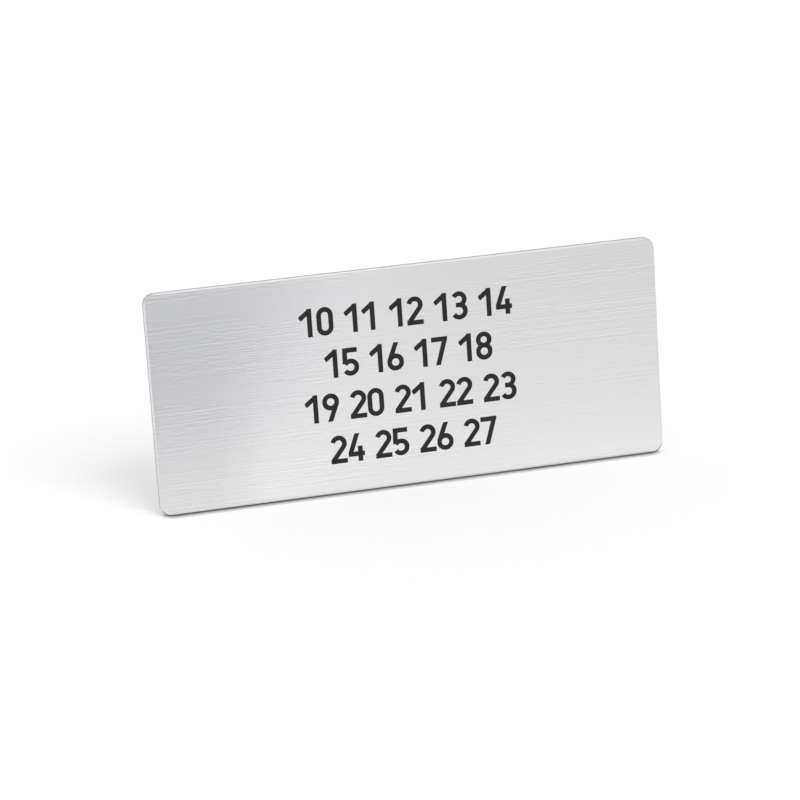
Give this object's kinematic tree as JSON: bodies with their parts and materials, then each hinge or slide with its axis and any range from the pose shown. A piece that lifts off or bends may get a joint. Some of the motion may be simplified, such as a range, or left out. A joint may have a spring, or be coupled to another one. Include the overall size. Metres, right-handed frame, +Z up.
{
  "type": "mailbox sign",
  "caption": "Small flat rectangular metal plate that marks a mailbox, with a brushed face, rounded corners and a fine bevelled front edge.",
  "frame": {"origin": "centre of the flat back face, which goes against the mailbox", "axes": "+X along the width, +Y out of the back face into the mailbox, +Z up; the marked front looks along -Y"},
  "size_m": [0.07, 0.001, 0.03],
  "materials": {
    "plate_metal": "fine brushing along the width",
    "marking_fill": "matt dark enamel that fills the engraved marks"
  },
  "bodies": {
    "root": {"sign_plate": "plate_metal"}
  },
  "joints": []
}
